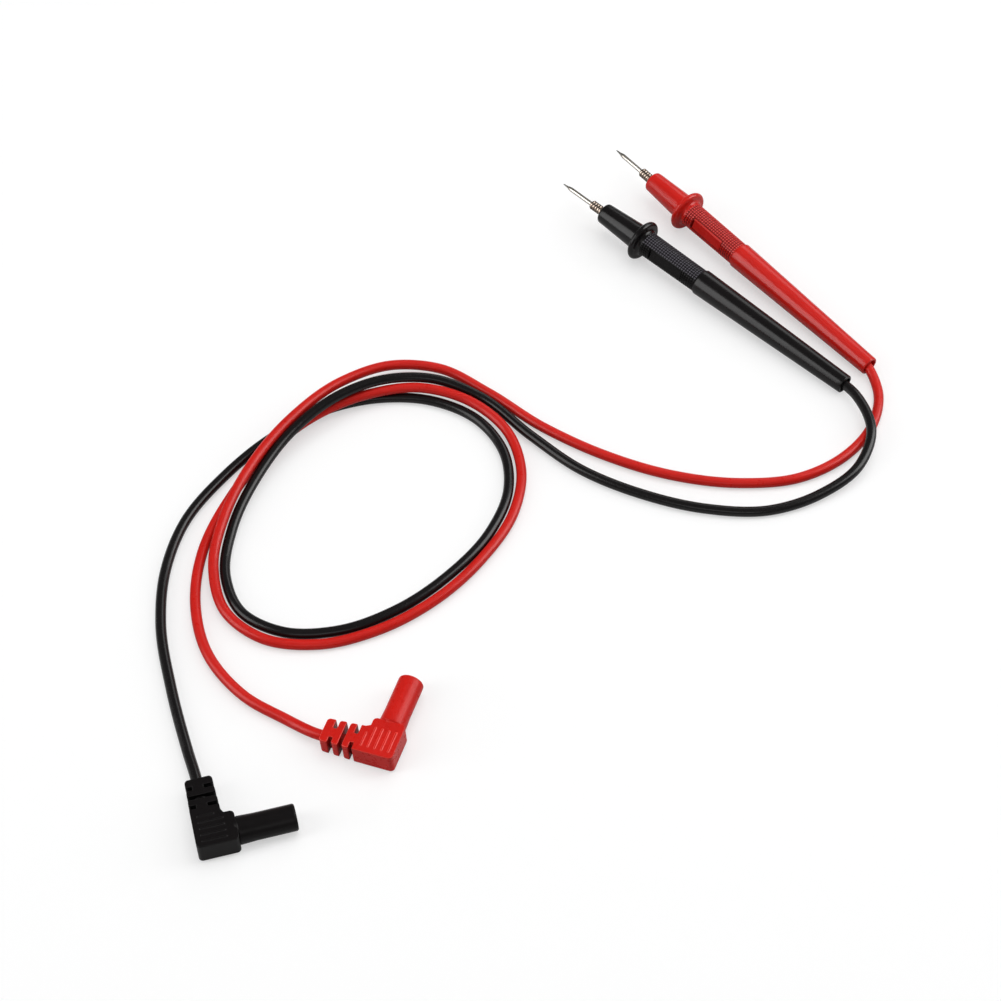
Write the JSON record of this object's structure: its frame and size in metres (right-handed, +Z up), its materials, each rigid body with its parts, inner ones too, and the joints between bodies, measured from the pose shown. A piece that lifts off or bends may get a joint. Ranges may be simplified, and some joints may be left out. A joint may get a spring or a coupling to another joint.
{
  "type": "test lead pair",
  "caption": "Pair of multimeter test leads, one red and one black: pencil probes with finger guards, loosely coiled flexible cords and right-angled shrouded 4 mm plugs.",
  "frame": {"origin": "on the surface that the leads lie on, under the middle of the probes and plugs", "axes": "+Z up from the surface; +X to the right and +Y away from a viewer who has the plugs nearest and the probe tails on the right"},
  "size_m": [0.2797, 0.3428, 0.0176],
  "materials": {
    "nickel": "bright nickel plate",
    "collar_brass": "nickel-plated brass, slightly dull",
    "brass": "turned",
    "copper": "bare stranded copper",
    "red_plastic": "gloss",
    "black_plastic": "gloss",
    "red_sleeve": "satin gloss",
    "black_sleeve": "satin gloss",
    "red_plug": "satin",
    "black_plug": "satin",
    "red_cord": "smooth flexible jacket",
    "black_cord": "smooth flexible jacket"
  },
  "bodies": {
    "root": {"red_probe_needle": "nickel", "red_probe_collar": "collar_brass", "red_probe_body": "red_plastic", "red_probe_sleeve": "red_sleeve", "red_probe_solder_cup": "brass", "red_probe_conductor": "copper", "red_cord": "red_cord", "red_plug_conductor": "copper", "red_plug_terminal": "brass", "red_plug_housing": "red_plug", "red_plug_shroud": "red_plug", "red_plug_pin": "nickel", "red_plug_spring": "nickel", "black_probe_needle": "nickel", "black_probe_collar": "collar_brass", "black_probe_body": "black_plastic", "black_probe_sleeve": "black_sleeve", "black_probe_solder_cup": "brass", "black_probe_conductor": "copper", "black_cord": "black_cord", "black_plug_conductor": "copper", "black_plug_terminal": "brass", "black_plug_housing": "black_plug", "black_plug_shroud": "black_plug", "black_plug_pin": "nickel", "black_plug_spring": "nickel"}
  },
  "joints": []
}
